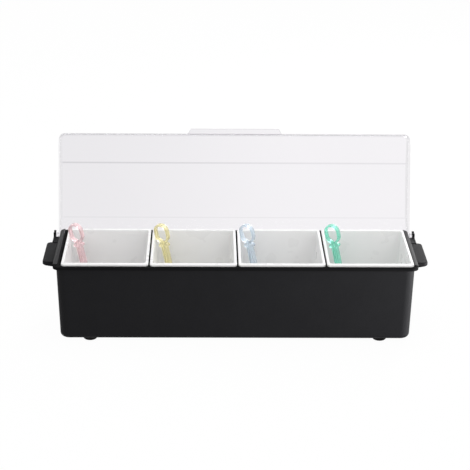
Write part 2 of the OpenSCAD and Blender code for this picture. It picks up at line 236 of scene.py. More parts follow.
def outward(outline):
    """For each corner of a counterclockwise outline, the step that moves both its edges out by 1."""
    def normal(a, b):
        run = (b - a) / np.linalg.norm(b - a, axis=1, keepdims=True)
        return np.stack([run[:, 1], -run[:, 0]], -1)
    before = normal(np.roll(outline, 1, 0), outline)
    after = normal(outline, np.roll(outline, -1, 0))
    return (before + after) / (1 + (before * after).sum(1, keepdims=True))


def slab_profile(low, high, edge):
    """Profile of a plate with rounded edges, as [how far out, height], from its lower face up."""
    return path(
        arc((-edge, low + edge), edge, -90, 0, 4),
        arc((-edge, high - edge), edge, 0, 90, 4),
    )


def slab(outline, profile):
    """Plate whose outline is carried along a profile: a ring is outline + how far out * step."""
    steps = outward(outline)
    return loft([
        np.column_stack([outline + out * steps, np.full(len(outline), z)]) for out, z in profile
    ])


def spun(profile, centre, steps=48):
    """Skin of a profile of [radius, height] turned about an upright axis."""
    ring = arc((0, 0), 1, 0, 360 * (1 - 1 / steps), steps - 1)
    return loft([
        np.column_stack([centre + radius * ring, np.full(steps, z)]) for radius, z in profile
    ])


def turned(skin, order):
    """The same skin with its axes renamed, such as (2, 0, 1) for a plate drawn in Y and Z."""
    points, faces = skin
    return points[:, order], faces


def rod(x_from, x_to, centre, radius, edge, steps=32):
    """Skin of a rod along X with rounded ends."""
    profile = slab_profile(x_from, x_to, edge) + (radius, 0)
    return turned(spun(profile, centre, steps), (2, 0, 1))


def mirrored(skin):
    """The same skin for the other end of the caddy."""
    points, faces = skin
    return points * (-1, 1, 1), [face[::-1] for face in faces]


def both_ends(*skins):
    """Each skin, and its mirror image at the other end."""
    return [made for skin in skins for made in (skin, mirrored(skin))]


def smoothed(mesh):
    """Shades a mesh smoothly and keeps its sharp edges."""
    mesh.shade_smooth()
    mesh.set_sharp_from_angle(angle=math.radians(SHARP))


def piece(name, skins, material, body, slot, *nodes):
    """One object from skins in mm: doubles merged, faces outwards, sharp edges kept.

    A skin is its points and its faces. It may bring how strongly each point is painted with shade as a
    dark edge line.
    """
    points = np.concatenate([skin[0] for skin in skins]) * MM
    starts = np.cumsum([0] + [len(skin[0]) for skin in skins]).tolist()
    faces = [[start + i for i in face] for start, skin in zip(starts, skins) for face in skin[1]]
    edge_shade = [skin[2] if len(skin) > 2 else np.zeros(len(skin[0])) for skin in skins]
    mesh = bpy.data.meshes.new(name)
    mesh.from_pydata(points.tolist(), [], faces)
    # The edge attribute carries painted shade: how dark a line the lid's material draws at each point.
    mesh.attributes.new("edge", "FLOAT", "POINT").data.foreach_set("value", np.concatenate(edge_shade))
    shape = bmesh.new()
    shape.from_mesh(mesh)
    bmesh.ops.remove_doubles(shape, verts=shape.verts, dist=MERGE * MM)
    bmesh.ops.dissolve_degenerate(shape, edges=shape.edges, dist=MERGE * MM)
    bmesh.ops.recalc_face_normals(shape, faces=shape.faces)
    shape.to_mesh(mesh)
    shape.free()
    smoothed(mesh)
    mesh.materials.append(material)
    made = bpy.data.objects.new(name, mesh)
    bpy.context.scene.collection.objects.link(made)
    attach(made, body)
    if nodes:
        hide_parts(*nodes)
    return made


def thickened(made, thickness, edge):
    """Gives an open skin its thickness, inwards, and small rounds on its edges, all in its mesh."""
    solid = made.modifiers.new("thickness", "SOLIDIFY")
    solid.thickness = thickness * MM
    solid.offset = -1
    solid.use_even_offset = True
    rounds = made.modifiers.new("edges", "BEVEL")
    rounds.width = edge * MM
    rounds.segments = 2
    rounds.limit_method = "ANGLE"
    rounds.angle_limit = math.radians(50)
    bpy.context.view_layer.update()
    solved = made.evaluated_get(bpy.context.evaluated_depsgraph_get())
    made.data = bpy.data.meshes.new_from_object(solved)
    made.modifiers.clear()
    smoothed(made.data)


# ---------------------------------------------------------------- materials

class Wire:
    """A node's output. Operators on it add Math nodes, so materials read as formulas."""

    def __init__(self, recipe, socket):
        self.recipe = recipe
        self.socket = socket

    def math(self, operation, *values, clamp=False):
        """One Math node on the given values."""
        settings = {"operation": operation, "use_clamp": clamp}
        return self.recipe.node("ShaderNodeMath", settings, dict(enumerate(values)))

    def __add__(self, other):
        return self.math("ADD", self, other)

    __radd__ = __add__

    def __sub__(self, other):
        return self.math("SUBTRACT", self, other)

    def __rsub__(self, other):
        return self.math("SUBTRACT", other, self)

    def __mul__(self, other):
        return self.math("MULTIPLY", self, other)

    __rmul__ = __mul__

    def size(self):
        """The value without its sign."""
        return self.math("ABSOLUTE", self)

    def clamped(self):
        """The value held between 0 and 1."""
        return self.math("ADD", self, 0.0, clamp=True)

    def over(self, low, high):
        """Smooth step from 0 at low to 1 at high."""
        return self.recipe.node(
            "ShaderNodeMapRange",
            {"interpolation_type": "SMOOTHSTEP"},
            {"Value": self, "From Min": low, "From Max": high},
        )


class Recipe:
    """The nodes of one material or of the world."""

    def __init__(self, holder):
        self.holder = holder
        holder.use_nodes = True
        self.tree = holder.node_tree
        self.tree.nodes.clear()

    def node(self, kind, settings=None, inputs=None, output=0):
        """Adds a node: its settings, then the values or links of its sockets; returns one output."""
        made = self.tree.nodes.new(kind)
        for name, value in (settings or {}).items():
            setattr(made, name, value)
        for name, value in (inputs or {}).items():
            if isinstance(value, Wire):
                self.tree.links.new(value.socket, made.inputs[name])
            else:
                made.inputs[name].default_value = value
        return Wire(self, made.outputs[output]) if made.outputs else None

    def place(self):
        """Where a point of the piece lies, in metres."""
        return self.node("ShaderNodeTexCoord", output="Object")

    def along(self, axis):
        """One coordinate of that place, in mm."""
        return self.node("ShaderNodeSeparateXYZ", {}, {"Vector": self.place()}, axis) * (1 / MM)

    def noise(self, size, detail):
        """Soft noise from 0 to 1 whose blotches are about that size."""
        return self.node("ShaderNodeTexNoise", inputs={
            "Vector": self.place(), "Scale": 1 / (size * MM), "Detail": detail, "Roughness": 0.55,
        })

    def pebbles(self, size):
        """Height of a pebbled grain: distance to the nearest of scattered points."""
        return self.node(
            "ShaderNodeTexVoronoi",
            {"feature": "SMOOTH_F1"},
            {"Vector": self.place(), "Scale": 1 / (size * MM), "Smoothness": 0.6},
            "Distance",
        )

    def blend(self, factor, first, second):
        """Colour that goes from first to second as factor goes from 0 to 1."""
        inputs = {0: factor, 6: first, 7: second}
        return self.node("ShaderNodeMix", {"data_type": "RGBA"}, inputs, 2)

    def bump(self, height, depth):
        """Normal of a relief of that depth."""
        return self.node("ShaderNodeBump", inputs={"Height": height, "Distance": depth * MM})

    def plastic(self, inputs):
        """Principled shader with these sockets set."""
        return self.node("ShaderNodeBsdfPrincipled", inputs=inputs)

    def straight(self, tint):
        """Shader of a clear sheet that only tints what is behind it."""
        return self.node("ShaderNodeBsdfTransparent", inputs={"Color": tint})

    def layered(self, factor, first, second):
        """Second shader over the first, by factor."""
        return self.node("ShaderNodeMixShader", inputs={0: factor, 1: first, 2: second})

    def seen_by(self, *rays):
        """1 for rays of these kinds, 0 for others."""
        return sum(self.node("ShaderNodeLightPath", output=ray) for ray in rays).clamped()

    def finish(self, shader, kind="ShaderNodeOutputMaterial"):
        """Joins the last shader to the output."""
        self.node(kind, inputs={"Surface": shader})
        return self.holder


def tub_plastic():
    """Black moulded plastic: fine pebbled grain, a smoother rim painted near black as painted shade for
    the dark gaps round it, gloss on the curbs.
    """
    grain_dark, grain_light = (0.0051, 0.0051, 0.0059, 1), (0.0075, 0.0075, 0.0086, 1)
    # The rim's near-black colour is painted shade. It stands in for the deep dark gap between the trays
    # and the curbs, and for the shade under the rim.
    rim_painted_shade = (0.0024, 0.0024, 0.0028, 1)
    recipe = Recipe(bpy.data.materials.new("tub_plastic"))
    height = recipe.along("Z")
    curb = height.over(RIM_TOP + 0.3, RIM_TOP + 0.9)
    rim = height.over(RIM_LOW - 0.4, RIM_LOW + 0.2) - curb
    cloud = recipe.noise(26, 3.0)
    grain = recipe.pebbles(0.9)
    return recipe.finish(recipe.plastic({
        # Where the rim mask is full, the grain's colour gives way to the painted shade.
        "Base Color": recipe.blend(rim, recipe.blend(cloud, grain_dark, grain_light), rim_painted_shade),
        "Roughness": 0.56 + 0.08 * cloud + 0.25 * rim,
        "Normal": recipe.bump(grain * (1 - 0.85 * rim), 0.09),
        "IOR": 1.46, "Specular IOR Level": 0.10,
        "Coat Weight": 0.25 * curb, "Coat Roughness": 0.3,
    }))


def foot_rubber():
    """Black rubber, dull, with a dusty mottle."""
    black, dusty = (0.004, 0.004, 0.004, 1), (0.012, 0.011, 0.011, 1)
    recipe = Recipe(bpy.data.materials.new("foot_rubber"))
    dust = recipe.noise(3, 4.0)
    return recipe.finish(recipe.plastic({
        "Base Color": recipe.blend(dust, black, dusty),
        "Roughness": 0.72 + 0.16 * dust, "Specular IOR Level": 0.2,
        "Normal": recipe.bump(recipe.noise(0.7, 3.0), 0.06),
    }))


def tray_plastic():
    """White moulded plastic: smooth, with the faintest unevenness and cloudiness."""
    greyer, whiter = (0.81, 0.81, 0.806, 1), (0.83, 0.83, 0.827, 1)
    recipe = Recipe(bpy.data.materials.new("tray_plastic"))
    cloud = recipe.noise(30, 2.0)
    return recipe.finish(recipe.plastic({
        "Base Color": recipe.blend(cloud, greyer, whiter),
        "Roughness": 0.24 + 0.08 * cloud, "Specular IOR Level": 0.5,
        "Normal": recipe.bump(recipe.noise(9, 1.0), 0.003),
    }))


def clear_to_light(recipe, shader):
    """Lets lamplight through a clear piece: shadow rays see it as transparent."""
    shade = recipe.straight((0.93, 0.93, 0.93, 1))
    return recipe.layered(recipe.seen_by("Is Shadow Ray"), shader, shade)


# The lid's folds get painted shade: lid_fold gives where the dark fold lines are drawn.
def lid_fold(recipe, distance, half_width):
    """1 along the line of the open lid at that distance from the hinge, 0 beside it.

    The distance is the dot product of the way from the hinge and the direction of the open lid.
    """
    hinge_place = (0, HINGE_Y * MM, HINGE_Z * MM)
    forward = (0, -math.cos(OPENING), math.sin(OPENING))
    from_hinge = recipe.node(
        "ShaderNodeVectorMath", {"operation": "SUBTRACT"}, {0: recipe.place(), 1: hinge_place}
    )
    reach = recipe.node(
        "ShaderNodeVectorMath", {"operation": "DOT_PRODUCT"}, {0: from_hinge, 1: forward}, "Value"
    )
    away = (reach * (1 / MM) - distance).size()
    return 1 - away.over(0.35 * half_width, half_width)


def lid_clear():
    """Clear moulded sheet with a faint grey violet cast. Painted shade makes it greyer towards its left
    end and draws darker lines along its edges and its two folds.

    Most of the light goes straight through; the rest is bent and mirrored as by a solid sheet.
    """
    # The greyer and the paler tint run from the sheet's left end to its right as painted shade and
    # light. side tints the side walls. The darkest tint is painted shade for the lines along the edges
    # and folds.
    grey, pale = (0.897, 0.889, 0.903, 1), (0.948, 0.939, 0.953, 1)
    side, painted_line_shade = (0.935, 0.930, 0.938, 1), (0.80, 0.795, 0.81, 1)
    recipe = Recipe(bpy.data.materials.new("lid_clear"))
    across = recipe.along("X")
    wall = across.size().over(LID_HALF - 2.8, LID_HALF - 2.3)
    cloud = recipe.noise(60, 2.0)
    # Painted shade and light across the sheet: greyer at the left end, paler at the right, with a
    # little random cloud.
    painted_light_span = 0.85 * across.over(-LID_HALF, 0.5 * LID_HALF) + 0.15 * cloud
    # Painted shade lines at the two folds, where the bent sheet would show dark lines.
    front_fold_shade = lid_fold(recipe, LID_BENDS[0], 1.5) * (1 - 0.6 * painted_light_span)
    rear_fold_shade = 0.2 * lid_fold(recipe, LID_BENDS[1], 1.2)
    # The edge attribute holds the painted shade lines along the lid's edges.
    edge = recipe.node("ShaderNodeAttribute", {"attribute_name": "edge"}, output="Fac")
    line = ((front_fold_shade + rear_fold_shade) * (1 - wall) + edge).clamped()
    tint = recipe.blend(wall, recipe.blend(painted_light_span, grey, pale), side)
    bent = recipe.plastic({
        "Base Color": recipe.blend(line, tint, painted_line_shade),
        "Roughness": 0.012 + 0.015 * cloud, "IOR": 1.49, "Transmission Weight": 1.0,
        "Normal": recipe.bump(recipe.noise(45, 1.0), 0.10),
    })
    straight = recipe.layered(painted_light_span, recipe.straight(grey), recipe.straight(pale))
    straight = recipe.layered(wall, straight, recipe.straight(side))
    straight = recipe.layered(line, straight, recipe.straight(painted_line_shade))
    # Less of the bent layer along the edges, so the painted shade line shows there.
    sheet = recipe.layered(0.18 - 0.10 * edge, straight, bent)
    return recipe.finish(clear_to_light(recipe, sheet))


# Tints of the tongs: the paler and the deeper one of each
TINTS = {
    "tongs_pink": ((1.0, 0.85, 0.86, 1), (0.99, 0.74, 0.77, 1)),
    "tongs_yellow": ((0.99, 0.95, 0.68, 1), (0.97, 0.89, 0.50, 1)),
    "tongs_blue": ((0.88, 0.94, 0.99, 1), (0.77, 0.88, 0.98, 1)),
    "tongs_green": ((0.50, 0.96, 0.83, 1), (0.34, 0.92, 0.73, 1)),
}


def tongs_plastic(name):
    """Translucent tinted plastic, paler in some places than in others."""
    recipe = Recipe(bpy.data.materials.new(name))
    cloud = recipe.noise(6, 2.0)
    shader = recipe.plastic({
        "Base Color": recipe.blend(cloud, *TINTS[name]),
        "Roughness": 0.16 + 0.10 * cloud, "IOR": 1.46, "Transmission Weight": 0.7,
        "Normal": recipe.bump(recipe.noise(2.5, 1.0), 0.03),
    })
    return recipe.finish(clear_to_light(recipe, shader))


# ---------------------------------------------------------------- tub

def lean(z):
    """How far the tub's walls stand in from their top at that height."""
    return (RIM_LOW - z) * WALL_LEAN


def tub_shell():
    """Outer wall, rim and inner wall: one profile carried round the rounded rectangle of the wall.

    A station says how far out it lies and how high, and has its own corner radius. Those of the
    outer wall lie further out at the two ends.
    """
    fillet = 1.0
    lower_edge, outer_edge, inner_edge = 0.6, 1.2, 0.5
    crown_corner, floor_corner = 7.0, 2.0
    inner_round = BOTTOM_ROUND - WALL
    outer_low = -lean(BOTTOM_ROUND) - BOTTOM_ROUND
    inner_low = -WALL - lean(WALL + inner_round) - inner_round
    outside = path(
        arc((outer_low, BOTTOM_ROUND), BOTTOM_ROUND, -90, 0, 8),
        (-lean(RIM_LOW - fillet), RIM_LOW - fillet),
        arc((fillet, RIM_LOW - fillet), fillet, 180, 90, 4),
    )
    rim = path(
        arc((RIM_OVERHANG - lower_edge, RIM_LOW + lower_edge), lower_edge, -90, 0, 4),
        arc((RIM_OVERHANG - outer_edge, RIM_TOP - outer_edge), outer_edge, 0, 90, 6),
        arc((inner_edge - WALL, RIM_TOP - inner_edge), inner_edge, 90, 180, 4),
    )
    inside = arc((inner_low, WALL + inner_round), inner_round, 0, -90, 6)
    corner = np.concatenate([
        WALL_CORNER + np.minimum(outside[:, 0] + lean(BOTTOM_ROUND), 0),
        np.interp(rim[:, 0], (-WALL, 0, RIM_OVERHANG), (MOUTH_CORNER, crown_corner, RIM_CORNER)),
        np.interp(inside[:, 0], (inner_low, inner_low + inner_round), (floor_corner, MOUTH_CORNER)),
    ])
    spread = np.repeat((END_SPREAD, 0), (len(outside), len(rim) + len(inside)))
    return loft([
        rounded_ring(WALL_X + out + wider, WALL_Y + out, radius, z)
        for (out, z), radius, wider in zip(path(outside, rim, inside), corner, spread)
    ])


def curb():
    """Raised strip along one end of the rim, rounded with the rim's rear corner."""
    inner = RIM_X - CURB_WIDTH
    front = RIM_CORNER - RIM_Y
    centre = (RIM_X - RIM_CORNER, RIM_Y - RIM_CORNER)
    reach = math.degrees(math.acos((inner - centre[0]) / RIM_CORNER))
    nose = 1.8
    inset = 0.05
    edge = 0.85
    sunk = 1.0
    outline = path(
        (inner, front),
        arc((RIM_X - nose, front + nose), nose, -90, 0, 4),
        arc(centre, RIM_CORNER, 0, reach, 8),
    )
    profile = path(
        (-inset, RIM_TOP - sunk), arc((-inset - edge, CURB_TOP - edge), edge, 0, 90, 5)
    )
    return slab(outline, profile)


def handle():
    """Ledge hollow underneath: a U-shaped outline carried from the hollow's roof to the top.

    A station says how far out it lies and how high, above the underside or above the lip's lower
    edge, which drops towards the tub. The outline's two ends, inside the tub's wall, stay in line.
    """
    root_x = WALL_X - WALL / 2
    tip_x = HANDLE_X - HANDLE_CORNER
    side_x = np.linspace(root_x, tip_x, 8)
    side_y = np.full_like(side_x, HANDLE_HALF)
    outline = path(
        np.column_stack([side_x, -side_y]),
        arc((tip_x, HANDLE_CORNER - HANDLE_HALF), HANDLE_CORNER, -90, 0),
        arc((tip_x, HANDLE_HALF - HANDLE_CORNER), HANDLE_CORNER, 0, 90),
        np.column_stack([side_x[::-1], side_y]),
    )
    steps = outward(outline)
    steps[[0, -1], 0] = 0
    steps[[0, -1], 1] = (-1, 1)
    root = HANDLE_ROOT * np.interp(outline[:, 0], (RIM_X, HANDLE_X), (1, 0))
    lip = HANDLE_TOP - HANDLE_LIP - root
    roof_round, inner_edge, outer_edge, top_edge = 1.2, 0.5, 0.7, 1.3
    roof = (-HANDLE_WALL - roof_round, HANDLE_TOP - HANDLE_WALL - roof_round)
    stretches = (
        (0, arc(roof, roof_round, 90, 0, 4)),
        (1, arc((inner_edge - HANDLE_WALL, inner_edge), inner_edge, 180, 270, 3)),
        (1, arc((-outer_edge, outer_edge), outer_edge, -90, 0, 4)),
        (0, arc((-top_edge, HANDLE_TOP - top_edge), top_edge, 0, 90, 6)),
    )
    return loft([
        np.column_stack([outline + out * steps, at_lip * lip + z])
        for at_lip, stretch in stretches for out, z in stretch
    ])


def handle_root():
    """Web that fills the corner between the handle's top and the underside of the rim."""
    inset_x, inset_y = 0.4, 1.0
    sunk_low, sunk_high = 1.0, 0.5
    inner, outer = WALL_X - WALL / 2, RIM_X - inset_x
    half = HANDLE_HALF - inset_y
    edge = 0.2
    outline = path((inner, -half), (outer, -half), (outer, half), (inner, half))
    return slab(outline, slab_profile(HANDLE_TOP - sunk_low, RIM_LOW + sunk_high, edge))


def bracket():
    """Hinge bracket: a block with a pocket for the lid's lug, and an ear with the pin's bearing.

    Both are plates drawn in Y and Z, and beads run along the ear's upper edge. The pocket's floor
    leaves its arc on the slope that the lid's side walls come to rest on when the lid is open.
    """
    front = HANDLE_HALF - HANDLE_WALL
    rear = HINGE_Y + LUG
    low = HINGE_Z - BRACKET_DROP
    shelf = HINGE_Z - CLEARANCE
    pocket = LUG + CLEARANCE
    floor_start = 188
    tail_angle = math.degrees(math.atan2(LID_TAIL[1], -LID_TAIL[0]))
    tangent = tail_angle - math.degrees(math.acos(LUG / math.hypot(*LID_TAIL)))
    slope = tangent + 90 - math.degrees(OPENING)
    floor = arc((HINGE_Y, HINGE_Z), pocket, floor_start, 270 + slope, 12)
    rear_z = floor[-1, 1] + (rear - floor[-1, 0]) * math.tan(math.radians(slope))
    block = path(
        (front, low), (rear, low), (rear, rear_z), floor[::-1],
        (HINGE_Y - pocket, shelf), (front, shelf),
    )
    mouth = PIN - 0.3
    flare = 0.9
    bearing = PIN + 0.08
    grip = math.degrees(math.asin(mouth / bearing))
    corner_z = EAR_TOP - EAR_CORNER
    ear = path(
        (front, low), (rear, low),
        arc((rear - EAR_CORNER, corner_z), EAR_CORNER, 0, 90, 6),
        (HINGE_Y + mouth + flare, EAR_TOP), (HINGE_Y + mouth, EAR_TOP - flare),
        arc((HINGE_Y, HINGE_Z), bearing, 90 - grip, -270 + grip, 20),
        (HINGE_Y - mouth, EAR_TOP - flare), (HINGE_Y - mouth - flare, EAR_TOP),
        arc((HINGE_Y - LUG + EAR_CORNER, corner_z), EAR_CORNER, 90, 180, 6),
        (HINGE_Y - LUG, shelf), (front, shelf),
    )
    sunk = 0.1
    bead = 0.6
    block_edge, ear_edge, bead_edge = 0.25, 0.4, 0.3
    near, far = mouth + flare, LUG - EAR_CORNER
    beads = [
        rod(HINGE_Y + start, HINGE_Y + end, (EAR_IN, EAR_TOP - bead), bead, bead_edge, 16)
        for start, end in ((-far, -near), (near, far))
    ]
    return [
        turned(slab(block, slab_profile(WALL_X - WALL / 2, EAR_IN + sunk, block_edge)), (2, 0, 1)),
        turned(slab(ear, slab_profile(EAR_IN, EAR_OUT, ear_edge)), (2, 0, 1)),
        *[turned(bar, (1, 0, 2)) for bar in beads],
    ]


# ---------------------------------------------------------------- trays and feet

def tray_skin(name):
    """Tray: one profile carried from its underside, up the wall, over the lipped rim and down inside.

    The walls' stations start from the mouth, and the rim's stations from the tray's outer edge.
    """
    low, high = node_box(name)
    middle = (low + high) / 2
    half = (high - low)[:2] / 2
    mouth = np.array([half[0] - TRAY_SIDE_RIM, WALL_Y - WALL - TRAY_PLAY - TRAY_WALL])
    plate = high[2] - TRAY_PLATE
    lip_low = high[2] - TRAY_LIP
    fillet, lip_edge, crown_edge, mouth_edge = 0.4, 0.3, 1.0, 0.5
    floor_corner, outer_corner, inner_corner, mouth_corner = 1.0, 8.5, 6.5, 3.0
    inner_round = TRAY_ROUND - TRAY_WALL
    bend_z = low[2] + TRAY_ROUND
    drawn_in = (high[2] - bend_z) * TRAY_LEAN
    outer_low = TRAY_WALL - drawn_in - TRAY_ROUND
    inner_low = -drawn_in - inner_round
    outside = path(
        arc((outer_low, bend_z), TRAY_ROUND, -90, 0, 10),
        (TRAY_WALL - 0.3 * fillet, plate - 2 * fillet),
        (TRAY_WALL, plate - fillet),
        (TRAY_WALL + fillet, plate),
    )
    rim = path(
        (-TRAY_WALL, plate), (-TRAY_WALL, lip_low + lip_edge), (lip_edge - TRAY_WALL, lip_low),
        (-lip_edge, lip_low), (0, lip_low + lip_edge),
        arc((-crown_edge, high[2] - crown_edge), crown_edge, 0, 90, 6),
    )
    inside = path(
        arc((mouth_edge, high[2] - mouth_edge), mouth_edge, 90, 180, 4),
        arc((inner_low, bend_z), inner_round, 0, -90, 8),
    )
    outer_corners = np.interp(
        outside[:, 0],
        (outer_low, outer_low + TRAY_ROUND, TRAY_WALL),
        (floor_corner, outer_corner, TRAY_CORNER),
    )
    inner_corners = np.interp(
        inside[:, 0],
        (inner_low, inner_low + inner_round, 0, mouth_edge),
        (floor_corner, inner_corner, mouth_corner, mouth_corner + mouth_edge),
    )
    stretches = (
        (mouth, outside, outer_corners),
        (half, rim, TRAY_CORNER + rim[:, 0]),
        (mouth, inside, inner_corners),
    )
    points, faces = loft([
        rounded_ring(*(reach + out), corner, z)
        for reach, stations, corners in stretches for (out, z), corner in zip(stations, corners)
    ])
    return points + (middle[0] + TRAY_SLIDE, middle[1], 0), faces


def foot_skin(name):
    """Low dome: a profile of dimple, flat, rounded side and bonded face, spun about its middle."""
    low, high = node_box(name)
    radius = (high[0] - low[0]) / 2
    flat = 6.0
    side = radius - flat
    pole = 0.4
    dimple, bevel, depth = 2.4, 0.4, 0.5
    profile = path(
        (pole, low[2] + depth), (dimple, low[2] + depth), (dimple + bevel, low[2]),
        arc((flat, low[2] + side), side, -90, 0, 10),
        (radius, high[2]), (pole, high[2]),
    )
    return spun(profile, ((low + high) / 2)[:2])


# ---------------------------------------------------------------- lid

# The top, front first, as [distance in front of the hinge, height above it]
LID_LINE = smooth_bends(np.array([
    (LID_FRONT, LID_FRONT_RISE),
    (LID_BENDS[0], LID_RISE),
    (LID_BENDS[1], LID_RISE),
    LID_TAIL,
]), reach=5.0)

# How strongly each ring is painted with shade as a dark edge line, at the front and at the sides:
# walls, rounded edge, top
FRONT_EDGE_SHADE = (1, 1, 0, 0, 0.03, 0.2) + (0.3, 0.3, 0.3, 0.2, 0.1, 0) + (0, 0)
SIDE_EDGE_SHADE = (0, 0, 0, 0, 0, 0) + (0.5, 0.9, 0.9, 0.5, 0.2, 0) + (0, 0)


def opened(points):
    """Lid points [x, distance in front of the hinge, height above it], turned to the open lid."""
    x, f, z = np.asarray(points, float).T
    forward, up = rotated(f, z, OPENING)
    return np.column_stack([x, HINGE_Y - forward, HINGE_Z + up])


def lid_top(f):
    """Height of the lid's top at a distance in front of the hinge."""
    return np.interp(-f, -LID_LINE[:, 0], LID_LINE[:, 1])


def lid_side():
    """Rows of a side wall, front to rear: where each ends on the top, and its point on the lower edge.

    The lower edge steps down behind the front corner, runs on level with the hinge, and goes round
    the lug to where the rear edge leaves it at a tangent.
    """
    front = LID_FRONT - LID_CORNER
    bends = LID_LINE[(LID_LINE[:, 0] < front) & (LID_LINE[:, 0] > LUG), 0]
    step = (LID_STEP - LID_FOOT, LID_STEP)
    rows = np.unique(np.round(np.concatenate([bends, np.linspace(LUG, front, 40), step]), 3))[::-1]
    foot = np.column_stack([rows, np.interp(rows, step, (0, LID_FOOT))])
    lug_front, lug_rear = -9, -177.2
    lug = arc((0, 0), LUG, lug_front, lug_rear, 22)
    tail = np.linspace(LUG - 0.3, LID_TAIL[0], len(lug))
    return np.concatenate([rows, tail]), np.concatenate([foot, lug])


def lid_ring(upper, lower, inset, share, drop):
    """Ring round three sides of the lid, from the left wall's rear to the right wall's rear.

    Each point lies on the straight line from the lower edge (share 0) to the top's edge (share 1).
    inset brings the ring in from the sides and drop below the top, as the rounded edge needs.
    """
    def height(low, f):
        return low + (lid_top(f) - drop - low) * share

    side_f = lower[:, 0] + (upper - lower[:, 0]) * share
    side_z = height(lower[:, 1], upper)
    side_x = np.full(len(upper), LID_HALF - inset)
    centre = (LID_HALF - LID_CORNER, LID_FRONT + LID_LEAN * (1 - share) - LID_CORNER)
    radius = max(LID_CORNER - inset, 0)
    corner_x, corner_f = (centre + arc((0, 0), radius, 0, 90, 10)[1:-1]).T
    corner_z = height(LID_FOOT, corner_f)
    front_x = np.linspace(-1, 1, LID_COLUMNS) * centre[0]
    front_f = np.full(LID_COLUMNS, centre[1] + radius)
    return np.concatenate([
        np.column_stack([-side_x, side_f, side_z])[::-1],
        np.column_stack([-corner_x, corner_f, corner_z]),
        np.column_stack([front_x, front_f, height(LID_FOOT, front_f)]),
        np.column_stack([corner_x, corner_f, corner_z])[::-1],
        np.column_stack([side_x, side_f, side_z]),
    ])


def lid_skin():
    """Outer face of the lid, still without thickness, and how strongly each point is painted with shade
    as a dark edge line.

    The first rings climb the walls, the next ones turn over the rounded edge, and the last two
    enclose a grid whose rows lie straight across the top.
    """
    beside_edge = 4.4
    upper, lower = lid_side()
    stations = [(0, share, LID_ROUND) for share in (0, 0.03, 0.1, 0.5, 0.97, 1)]
    turn = arc((LID_ROUND, 0), LID_ROUND, 180, 90, 6)[1:]
    stations += [(inset, 1, LID_ROUND - rise) for inset, rise in turn]
    stations += [(beside_edge, 1, 0), (LID_CORNER, 1, 0)]
    rings = np.array([lid_ring(upper, lower, *station) for station in stations])
    facing = np.clip((rings[0, :, 1] - LID_FRONT + LID_CORNER) / LID_CORNER, 0, 1)
    edge_shade = np.outer(FRONT_EDGE_SHADE, facing) + np.outer(SIDE_EDGE_SHADE, 1 - facing)
    across = np.linspace(-1, 1, LID_COLUMNS) * (LID_HALF - LID_CORNER)
    x, f = np.meshgrid(across, upper, indexing="ij")
    top = np.stack([x, f, lid_top(f)], -1)
    points = np.concatenate([rings.reshape(-1, 3), top.reshape(-1, 3)])
    faces = quads(*edge_shade.shape, wrap=False)
    faces += [[edge_shade.size + i for i in face] for face in quads(*x.shape, wrap=False)]
    return opened(points), faces, np.append(edge_shade, np.zeros(x.size))


def thumb_tab():
    """Strip along the lid's front edge that a thumb lifts: narrower to its tip, its edges rounded."""
    half = 62.0
    taper = 5.0
    reach = 6.4
    tip = 1.5
    edge = 0.8
    centre = (half - taper, LID_REACH + reach - tip)
    root = LID_REACH - WALL / 2
    outline = path(
        (-half, root), (half, root),
        arc(centre, tip, 10, 90, 4),
        arc((-centre[0], centre[1]), tip, 90, 170, 4),
    )
    profile = slab_profile(LID_FOOT, LID_FOOT + WALL, edge)
    points, faces = slab(outline, profile)
    # Painted shade line along the tab's rounded edge, strongest where it stands furthest out.
    edge_shade = np.repeat(np.clip(1 + profile[:, 0] / edge, 0, 1), len(outline))
    return opened(points), faces, edge_shade


def lid_pins():
    """Hinge pins at both ends of the lid, each a rod on a thicker, shorter boss."""
    sunk = 0.2
    edge = 0.35
    rods = both_ends(*[
        rod(LID_HALF - sunk, end - CLEARANCE, (0, 0), radius, edge)
        for radius, end in ((PIN_BOSS, EAR_IN), (PIN, EAR_OUT))
    ])
    return [(opened(points), faces) for points, faces in rods]


# ---------------------------------------------------------------- tongs

def arm_line():
    """One arm and half of the bow: the middle line of the strip, from the tip to the bow's top.

    Its points lie close together at the teeth and at the finger lug. A short bend leads from the
    arm to the bow, which is half a circle, a straight side and a quarter of a circle.
    """
    bow = BOW_RADIUS - ARM_WIDTH / 2
    neck = BOW_LOW - BOW_RADIUS
    bend_angle, bend_reach = 20, 1.9
    leave = 270 - math.degrees(math.asin(ARM_SIDE / bow)) - bend_angle
    meet = BOW_LOW - math.sqrt(bow ** 2 - ARM_SIDE ** 2)
    teeth_end = (TEETH + 1) * TOOTH_PITCH
    lug_start = neck - 6.4
    heights = np.concatenate([
        np.arange(0, teeth_end, 0.15),
        np.arange(teeth_end, lug_start - 0.6, 1.5),
        np.linspace(lug_start, neck - 0.5, 26),
    ])
    bend = np.array([
        (-ARM_SIDE, neck - 0.3),
        (-ARM_SIDE, meet + 0.3),
        arc((0, BOW_LOW), bow, leave, leave, 0)[0],
    ])
    return path(
        np.column_stack([np.full(len(heights), -ARM_SIDE), heights]),
        smooth_bends(bend, bend_reach, 8)[1:-1],
        arc((0, BOW_LOW), bow, leave, 180, 10),
        arc((0, BOW_LOW + BOW_RISE), bow, 180, 90, 16),
    )


